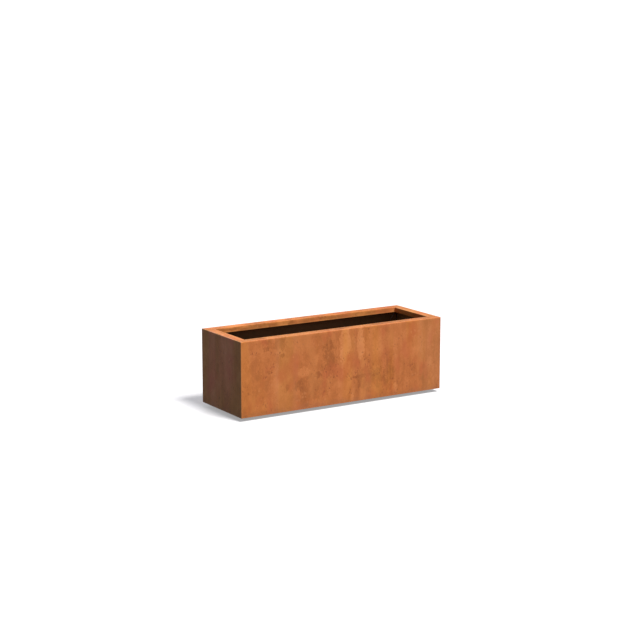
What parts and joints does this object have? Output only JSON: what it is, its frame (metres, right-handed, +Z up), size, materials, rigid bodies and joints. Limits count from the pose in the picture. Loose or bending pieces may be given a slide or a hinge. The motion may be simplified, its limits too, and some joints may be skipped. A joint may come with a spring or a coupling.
{
  "type": "planter box",
  "caption": "Long rectangular weathering-steel planter box with a folded rim, a dark coated inside, a drained base tray and levelling feet.",
  "frame": {"origin": "on the ground, under the middle of the box", "axes": "+X along the length, to the right seen from the front; +Y to the rear; +Z up"},
  "size_m": [1.2, 0.4, 0.4],
  "materials": {
    "weathering_steel": "matte",
    "dark_coating": "satin",
    "zinc_steel": null,
    "black_plastic": null
  },
  "bodies": {
    "planter": {"front_panel": "weathering_steel", "rear_panel": "weathering_steel", "left_end_panel": "weathering_steel", "right_end_panel": "weathering_steel", "base_tray": "weathering_steel", "base_channel_left": "weathering_steel", "base_channel_middle": "weathering_steel", "base_channel_right": "weathering_steel", "cross_brace": "dark_coating", "weld_nut_1": "weathering_steel", "weld_nut_2": "weathering_steel", "weld_nut_3": "weathering_steel", "weld_nut_4": "weathering_steel", "weld_nut_5": "weathering_steel", "weld_nut_6": "weathering_steel"},
    "foot_1": {"foot_pad_1": "black_plastic"},
    "stud_1": {"levelling_stud_1": "zinc_steel"},
    "foot_2": {"foot_pad_2": "black_plastic"},
    "stud_2": {"levelling_stud_2": "zinc_steel"},
    "foot_3": {"foot_pad_3": "black_plastic"},
    "stud_3": {"levelling_stud_3": "zinc_steel"},
    "foot_4": {"foot_pad_4": "black_plastic"},
    "stud_4": {"levelling_stud_4": "zinc_steel"},
    "foot_5": {"foot_pad_5": "black_plastic"},
    "stud_5": {"levelling_stud_5": "zinc_steel"},
    "foot_6": {"foot_pad_6": "black_plastic"},
    "stud_6": {"levelling_stud_6": "zinc_steel"}
  },
  "joints": [
    {"name": "foot_1_height", "type": "slide", "parent": "planter", "child": "foot_1", "axis": [0, 0, 1], "range_m": [-0.012, 0.008]},
    {"name": "foot_1_thread", "type": "hinge", "parent": "foot_1", "child": "stud_1", "pos_m": [-0.48, -0.1, 0], "axis": [0, 0, 1], "range_deg": [-2881, 1921]},
    {"name": "foot_2_height", "type": "slide", "parent": "planter", "child": "foot_2", "axis": [0, 0, 1], "range_m": [-0.012, 0.008]},
    {"name": "foot_2_thread", "type": "hinge", "parent": "foot_2", "child": "stud_2", "pos_m": [0, -0.1, 0], "axis": [0, 0, 1], "range_deg": [-2881, 1921]},
    {"name": "foot_3_height", "type": "slide", "parent": "planter", "child": "foot_3", "axis": [0, 0, 1], "range_m": [-0.012, 0.008]},
    {"name": "foot_3_thread", "type": "hinge", "parent": "foot_3", "child": "stud_3", "pos_m": [0.48, -0.1, 0], "axis": [0, 0, 1], "range_deg": [-2881, 1921]},
    {"name": "foot_4_height", "type": "slide", "parent": "planter", "child": "foot_4", "axis": [0, 0, 1], "range_m": [-0.012, 0.008]},
    {"name": "foot_4_thread", "type": "hinge", "parent": "foot_4", "child": "stud_4", "pos_m": [-0.48, 0.1, 0], "axis": [0, 0, 1], "range_deg": [-2881, 1921]},
    {"name": "foot_5_height", "type": "slide", "parent": "planter", "child": "foot_5", "axis": [0, 0, 1], "range_m": [-0.012, 0.008]},
    {"name": "foot_5_thread", "type": "hinge", "parent": "foot_5", "child": "stud_5", "pos_m": [0, 0.1, 0], "axis": [0, 0, 1], "range_deg": [-2881, 1921]},
    {"name": "foot_6_height", "type": "slide", "parent": "planter", "child": "foot_6", "axis": [0, 0, 1], "range_m": [-0.012, 0.008]},
    {"name": "foot_6_thread", "type": "hinge", "parent": "foot_6", "child": "stud_6", "pos_m": [0.48, 0.1, 0], "axis": [0, 0, 1], "range_deg": [-2881, 1921]}
  ],
  "couplings": [
    {"joint": "foot_1_thread", "follows": "foot_1_height", "rad_per_m": 4188.8},
    {"joint": "foot_2_thread", "follows": "foot_2_height", "rad_per_m": 4188.8},
    {"joint": "foot_3_thread", "follows": "foot_3_height", "rad_per_m": 4188.8},
    {"joint": "foot_4_thread", "follows": "foot_4_height", "rad_per_m": 4188.8},
    {"joint": "foot_5_thread", "follows": "foot_5_height", "rad_per_m": 4188.8},
    {"joint": "foot_6_thread", "follows": "foot_6_height", "rad_per_m": 4188.8}
  ]
}
